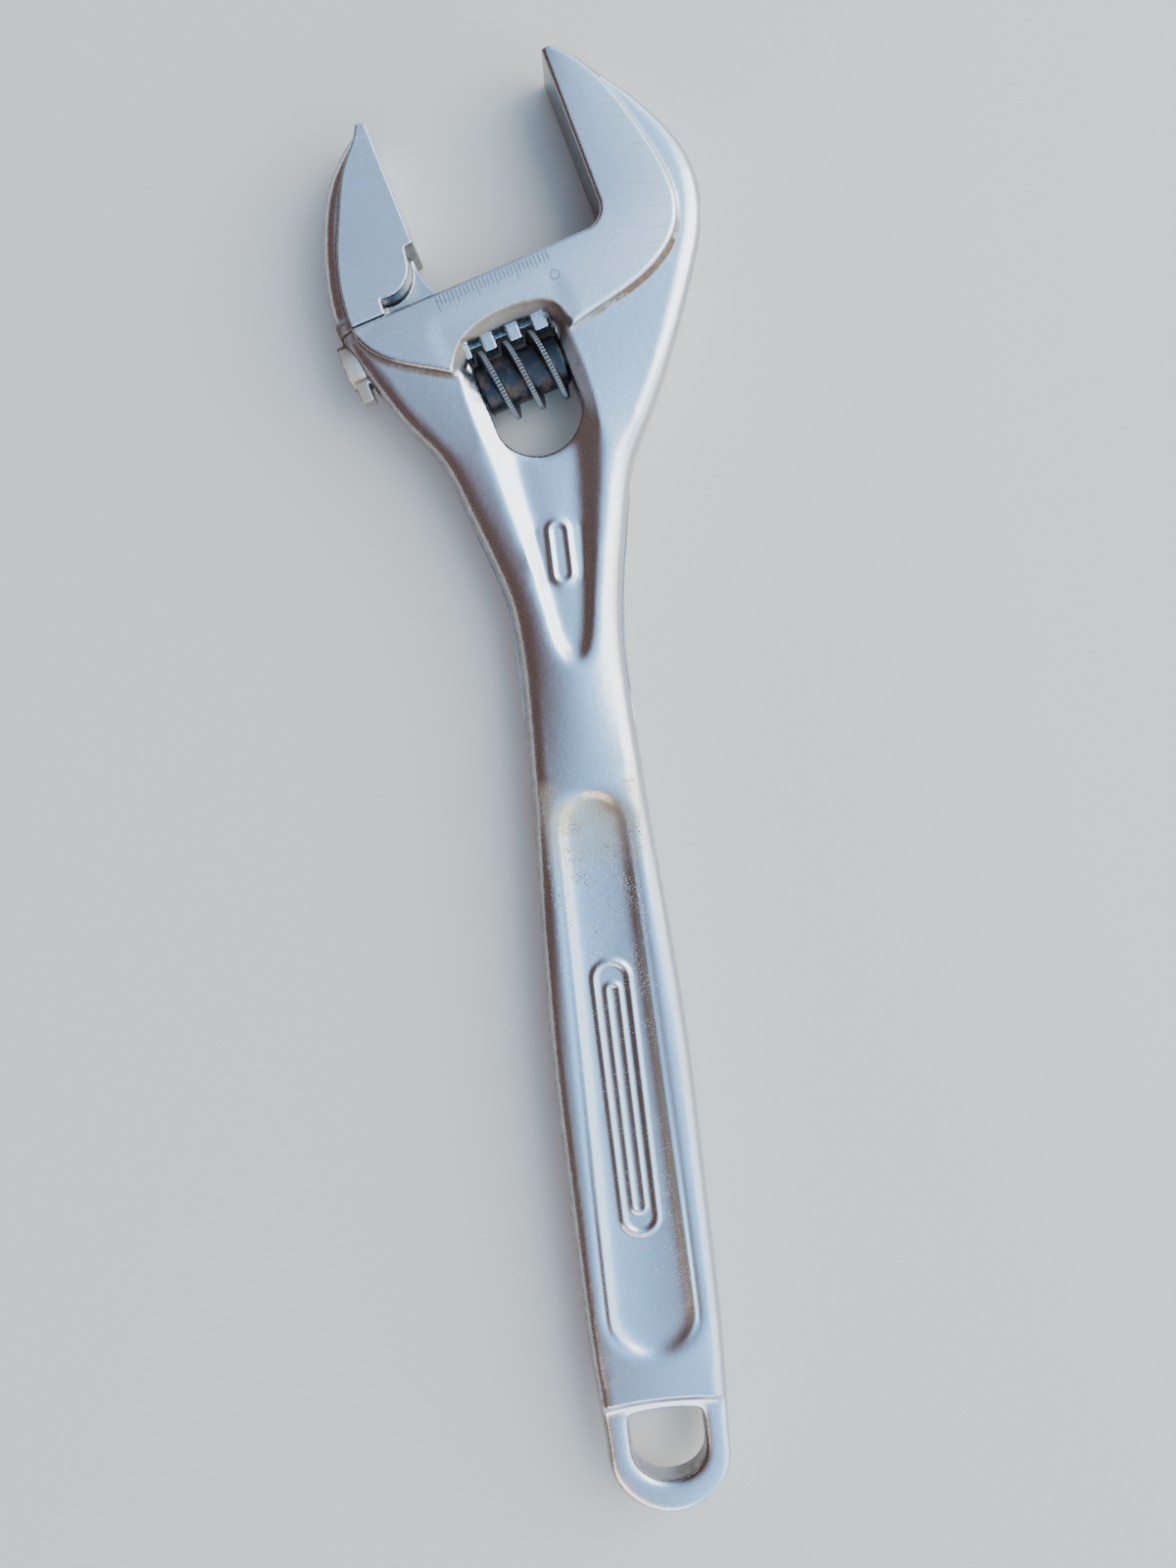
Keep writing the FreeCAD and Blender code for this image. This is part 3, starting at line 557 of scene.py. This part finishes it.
def throat_scale():
    """Build the millimetre lines of the throat and the small ring at their zero, as thin dark solids that
    stand for engraved grooves: partly the marks' own dark colour, partly painted shade.
    """
    build = bmesh.new()
    for i in range(LINE_COUNT):
        length = 3.6 if i % 10 == 0 else 2.9 if i % 5 == 0 else 2.2
        line_on_throat(build, FIRST_LINE + i, length)
    outer, inner = ZERO_RADII
    for i in range(ZERO_SIDES):
        first = 2 * math.pi * i / ZERO_SIDES
        second = 2 * math.pi * (i + 1) / ZERO_SIDES
        solid_between(build, [
            head_place(ZERO_RING[0] + radius * math.cos(angle), ZERO_RING[1] + radius * math.sin(angle))
            for radius, angle in ((outer, first), (outer, second), (inner, second), (inner, first))
        ])
    bmesh.ops.remove_doubles(build, verts=build.verts, dist=0.001 * MM)
    walls = [face for face in build.faces if is_inner_wall(face)]
    bmesh.ops.delete(build, geom=walls, context="FACES_ONLY")
    bmesh.ops.recalc_face_normals(build, faces=build.faces)
    mesh = bpy.data.meshes.new("throat_scale")
    build.to_mesh(mesh)
    build.free()
    return link("throat_scale", mesh)


scale = throat_scale()
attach(scale, "body")


# ---------------------------------------------------------------- materials
class Nodes:
    """A short way to write a material's nodes."""

    def __init__(self, name):
        self.material = bpy.data.materials.new(name)
        self.material.use_nodes = True
        self.tree = self.material.node_tree
        self.shader = self.tree.nodes["Principled BSDF"]

    def add(self, kind, **inputs):
        node = self.tree.nodes.new(kind)
        for key, value in inputs.items():
            if key in ("operation", "data_type", "attribute_name"):
                setattr(node, key, value)
            elif isinstance(value, bpy.types.NodeSocket):
                self.tree.links.new(value, node.inputs[self.key(key)])
            else:
                node.inputs[self.key(key)].default_value = value
        return node

    @staticmethod
    def key(name):
        if name.startswith("i") and name[1:].isdigit():
            return int(name[1:])
        return name.replace("_", " ")

    def math(self, operation, first, second):
        return self.add("ShaderNodeMath", operation=operation, i0=first, i1=second).outputs[0]

    def times(self, first, second):
        return self.math("MULTIPLY", first, second)

    def plus(self, first, second):
        return self.math("ADD", first, second)

    def minus(self, first, second):
        return self.math("SUBTRACT", first, second)

    def attribute(self, name):
        return self.add("ShaderNodeAttribute", attribute_name=name).outputs["Fac"]

    def coordinates(self, scale=(1, 1, 1), turn=0.0):
        source = self.add("ShaderNodeTexCoord").outputs["Object"]
        node = self.add("ShaderNodeMapping", Vector=source)
        node.inputs["Scale"].default_value = scale
        node.inputs["Rotation"].default_value = (0, 0, turn)
        return node.outputs[0]

    def noise(self, vector, scale, detail=4.0, roughness=0.55):
        node = self.add(
            "ShaderNodeTexNoise", Vector=vector, Scale=scale, Detail=detail, Roughness=roughness,
        )
        return node.outputs["Fac"]

    def ramp(self, value, low, high, from_value=0.0, to_value=1.0):
        node = self.add("ShaderNodeMapRange", Value=value)
        node.inputs["From Min"].default_value = low
        node.inputs["From Max"].default_value = high
        node.inputs["To Min"].default_value = from_value
        node.inputs["To Max"].default_value = to_value
        return node.outputs[0]

    def mix(self, factor, first, second):
        node = self.add("ShaderNodeMix", data_type="RGBA")
        for index, value in ((0, factor), (6, first), (7, second)):
            if isinstance(value, bpy.types.NodeSocket):
                self.tree.links.new(value, node.inputs[index])
            else:
                node.inputs[index].default_value = value
        return node.outputs[2]

    def bump(self, height, distance, strength):
        node = self.add("ShaderNodeBump", Height=height)
        node.inputs["Distance"].default_value = distance
        node.inputs["Strength"].default_value = strength
        return node.outputs[0]

    def wire(self, **sockets):
        for name, value in sockets.items():
            target = self.shader.inputs[name.replace("_", " ")]
            if isinstance(value, bpy.types.NodeSocket):
                self.tree.links.new(value, target)
            else:
                target.default_value = value


def chrome(name):
    """Satin chrome over a forging, brushed on its ground faces and rusty in its creases, with painted shade
    on its side walls and in its creases.
    """
    n = Nodes(name)
    space = n.coordinates()
    crease = n.attribute("crease")
    edge = n.attribute("edge")
    ground = n.attribute("ground")
    rust = n.attribute("rust")
    tint = n.attribute("tint")
    pits = n.attribute("pits")
    grain = n.noise(space, 3200, 2)
    peel = n.noise(space, 620, 3)
    waves = n.noise(space, 90, 2)
    brushed = n.noise(n.coordinates((16, 1, 1), math.radians(-15)), 700, 3)
    smudge = n.ramp(n.noise(space, 45, 4, 0.5), 0.52, 0.80)
    film = n.noise(space, 26, 3)
    clean = n.mix(film, (0.80, 0.83, 0.88, 1), (0.70, 0.72, 0.78, 1))
    clean = n.mix(n.times(smudge, 0.28), clean, (0.50, 0.50, 0.52, 1))
    golden = n.mix(n.noise(space, 240, 4), (0.84, 0.66, 0.40, 1), (0.66, 0.46, 0.25, 1))
    warm = n.times(tint, n.ramp(n.noise(space, 130, 4), 0.3, 0.6, 0.25, 0.95))
    clean = n.mix(warm, clean, golden)
    fine = n.noise(space, 1900, 2)
    spot = n.ramp(fine, 0.60, 0.65)
    clusters = n.ramp(n.noise(space, 150, 3), 0.42, 0.60)
    spot = n.times(spot, n.times(clusters, pits))
    stain = n.times(rust, n.ramp(n.noise(space, 210, 6, 0.72), 0.26, 0.46))
    # painted shade: the creases are darkened to a dull brown grey
    crease_shade = n.times(crease, 0.55)
    # painted shade: side walls turn a dark warm brown, most of all those facing left, and so does the
    # sliding jaw's curved cut-out; this is a painted reflection of dark surroundings
    shaded_flank = n.times(n.attribute("shaded_flank"), n.ramp(n.noise(space, 420, 4, 0.6), 0.25, 0.65, 0.75, 1.0))
    scab = n.ramp(n.noise(space, 800, 5, 0.7), 0.32, 0.68)
    rust_colour = n.mix(scab, (0.07, 0.030, 0.015, 1), (0.30, 0.155, 0.075, 1))
    colour = n.mix(shaded_flank, clean, (0.23, 0.19, 0.17, 1))
    colour = n.mix(crease_shade, colour, (0.20, 0.175, 0.16, 1))
    colour = n.mix(n.times(stain, 0.92), colour, rust_colour)
    colour = n.mix(n.times(spot, 0.95), colour, (0.06, 0.045, 0.035, 1))
    marks = None
    for turn, stretch in ((12, 1.1), (-28, 1.23), (61, 1.31)):
        streak = n.noise(n.coordinates((stretch, 46, 1), math.radians(turn)), 46, 2)
        line = n.ramp(streak, 0.665, 0.70)
        marks = line if marks is None else n.math("MAXIMUM", marks, line)
    marks = n.times(marks, n.ramp(n.noise(space, 48, 2), 0.42, 0.58, 0.05, 0.9))
    marks = n.times(marks, n.plus(0.12, n.times(ground, 0.88)))
    colour = n.mix(n.times(marks, 0.5), colour, (0.30, 0.30, 0.31, 1))
    rough = n.ramp(grain, 0.3, 0.7, 0.20, 0.31)
    rough = n.plus(rough, n.times(smudge, 0.05))
    rough = n.plus(rough, n.times(ground, 0.05))
    rough = n.plus(rough, n.times(stain, 0.42))
    rough = n.plus(rough, n.times(marks, 0.18))
    rough = n.minus(rough, n.times(edge, 0.06))
    metal = n.minus(1.0, n.plus(n.times(stain, 0.65), n.times(tint, 0.35)))
    forged = n.plus(n.times(grain, 0.30), n.times(peel, 1.0))
    forged = n.times(forged, n.minus(1.0, n.times(ground, 0.82)))
    lines = n.times(brushed, n.times(ground, 0.75))
    height = n.plus(n.plus(forged, lines), n.times(waves, 1.6))
    height = n.minus(height, n.times(marks, 0.9))
    height = n.minus(height, n.times(spot, 2.5))
    height = n.plus(height, n.times(n.times(stain, fine), 2.5))
    n.wire(
        Base_Color=colour, Metallic=metal, Roughness=rough,
        Normal=n.bump(height, 0.00004, 0.9),
    )
    return n.material


def dark_steel(name, base, worn_colour, rusty, spread, rough_low, rough_high):
    """Oiled steel with rust breaking through and brighter worn crests."""
    n = Nodes(name)
    space = n.coordinates()
    worn = n.attribute("worn")
    blotch = n.ramp(n.noise(space, 240, 5, 0.66), spread, spread + 0.16)
    blotch = n.times(blotch, n.minus(1.0, n.times(worn, 0.8)))
    fleck = n.noise(space, 1400, 4, 0.7)
    rusted = n.mix(n.ramp(fleck, 0.35, 0.65), rusty, tuple(0.45 * value for value in rusty[:3]) + (1,))
    colour = n.mix(worn, base, worn_colour)
    colour = n.mix(blotch, colour, rusted)
    grain = n.noise(space, 2400, 3)
    rough = n.plus(n.ramp(grain, 0.3, 0.7, rough_low, rough_high), n.times(blotch, 0.25))
    height = n.plus(grain, n.times(blotch, fleck))
    n.wire(
        Base_Color=colour, Metallic=n.minus(0.95, n.times(blotch, 0.8)),
        Roughness=rough, Normal=n.bump(height, 0.00005, 0.8),
    )
    return n.material


body.data.materials.append(chrome("satin_chrome"))
jaw.data.materials.append(chrome("jaw_chrome"))
worm.data.materials.append(dark_steel(
    "worm_steel", base=(0.050, 0.054, 0.064, 1), worn_colour=(0.30, 0.30, 0.31, 1),
    rusty=(0.17, 0.095, 0.055, 1), spread=0.50, rough_low=0.32, rough_high=0.48,
))
# partly painted shade: the scale's dark colour stands for the shade inside engraved grooves, as well as the
# marks' own darkness
scale.data.materials.append(dark_steel(
    "scale_line_shade", base=(0.20, 0.20, 0.21, 1), worn_colour=(0.2, 0.2, 0.2, 1),
    rusty=(0.22, 0.17, 0.13, 1), spread=0.62, rough_low=0.45, rough_high=0.6,
))
PIN_COLOUR = (0.42, 0.42, 0.44, 1)
SPRING_COLOUR = (0.20, 0.20, 0.21, 1)
for node, base, spread in (("worm_pin", PIN_COLOUR, 0.48), ("worm_spring", SPRING_COLOUR, 0.55)):
    mesh = frame["nodes"][node].data
    mesh.materials.clear()
    mesh.materials.append(dark_steel(
        node + "_steel", base=base, worn_colour=base,
        rusty=(0.30, 0.15, 0.07, 1), spread=spread, rough_low=0.25, rough_high=0.45,
    ))


# ---------------------------------------------------------------- floor, light and camera
FLOOR_HALF = 1.6
FLOOR_COLOUR = (0.86, 0.77, 0.68, 1)
CAMERA_PLACE = (6.915, 55.751, 309.9)
CAMERA_TURN = -6.94
CAMERA_TILT = -7.64


def make_floor():
    """Lay a plain pale floor under the wrench."""
    mesh = bpy.data.meshes.new("floor")
    low = cad_low[2]
    corners = [(x * FLOOR_HALF, y * FLOOR_HALF, low) for x, y in ((-1, -1), (1, -1), (1, 1), (-1, 1))]
    mesh.from_pydata(corners, [], [(0, 1, 2, 3)])
    floor = link("floor", mesh)
    n = Nodes("floor")
    n.wire(Base_Color=FLOOR_COLOUR, Roughness=0.9)
    mesh.materials.append(n.material)


def add_area(name, place, target, size, power, colour):
    """Hang a soft rectangular lamp that faces a target, in metres and watts."""
    data = bpy.data.lights.new(name, "AREA")
    data.shape = "RECTANGLE"
    data.size, data.size_y = size
    data.energy = power
    data.color = colour
    lamp = bpy.data.objects.new(name, data)
    scene.collection.objects.link(lamp)
    lamp.location = place
    lamp.rotation_euler = (Vector(target) - Vector(place)).to_track_quat("-Z", "Y").to_euler()


SKY = (
    (0.00, (0.13, 0.075, 0.055)),
    (0.20, (0.13, 0.080, 0.065)),
    (0.33, (0.27, 0.22, 0.25)),
    (0.42, (0.36, 0.50, 0.72)),
    (0.51, (0.44, 0.90, 1.50)),
    (0.62, (0.66, 1.30, 2.05)),
    (0.76, (1.75, 2.40, 2.90)),
    (1.00, (2.00, 2.20, 2.30)),
)


def light_scene():
    """Light the wrench with a soft sky, dim and warm on one side, pale blue to white on the other."""
    world = bpy.data.worlds.new("world")
    scene.world = world
    world.use_nodes = True
    tree = world.node_tree
    background = tree.nodes["Background"]
    direction = tree.nodes.new("ShaderNodeTexCoord").outputs["Generated"]
    split = tree.nodes.new("ShaderNodeSeparateXYZ")
    tree.links.new(direction, split.inputs[0])
    across = tree.nodes.new("ShaderNodeMapRange")
    across.inputs["From Min"].default_value = -1.0
    across.inputs["From Max"].default_value = 1.0
    tree.links.new(split.outputs["X"], across.inputs["Value"])
    ramp = tree.nodes.new("ShaderNodeValToRGB")
    ramp.color_ramp.interpolation = "EASE"
    stops = ramp.color_ramp.elements
    while len(stops) < len(SKY):
        stops.new(0.5)
    for stop, (place, colour) in zip(stops, SKY):
        stop.position = place
        stop.color = (*colour, 1)
    tree.links.new(across.outputs[0], ramp.inputs[0])
    tree.links.new(ramp.outputs[0], background.inputs[0])
    background.inputs[1].default_value = 1.0
    add_area(
        "key", place=(0.80, 0.25, 0.62), target=(0, 0.02, 0), size=(0.7, 1.2),
        power=8.0, colour=(1.0, 0.90, 0.80),
    )
    add_area(
        "fill", place=(-0.3, -1.1, 0.5), target=(0, -0.05, 0), size=(0.9, 0.4),
        power=4.0, colour=(1.0, 0.82, 0.68),
    )


make_floor()
light_scene()

camera_data = bpy.data.cameras.new("camera")
camera_data.lens = 27
camera_data.sensor_width = 36
camera_data.clip_start = 0.01
camera = bpy.data.objects.new("camera", camera_data)
scene.collection.objects.link(camera)
scene.camera = camera
camera.matrix_world = (
    Matrix.Translation(Vector(CAMERA_PLACE) * MM)
    @ Matrix.Rotation(math.radians(CAMERA_TURN), 4, "Z")
    @ Matrix.Rotation(math.radians(CAMERA_TILT), 4, "X")
)
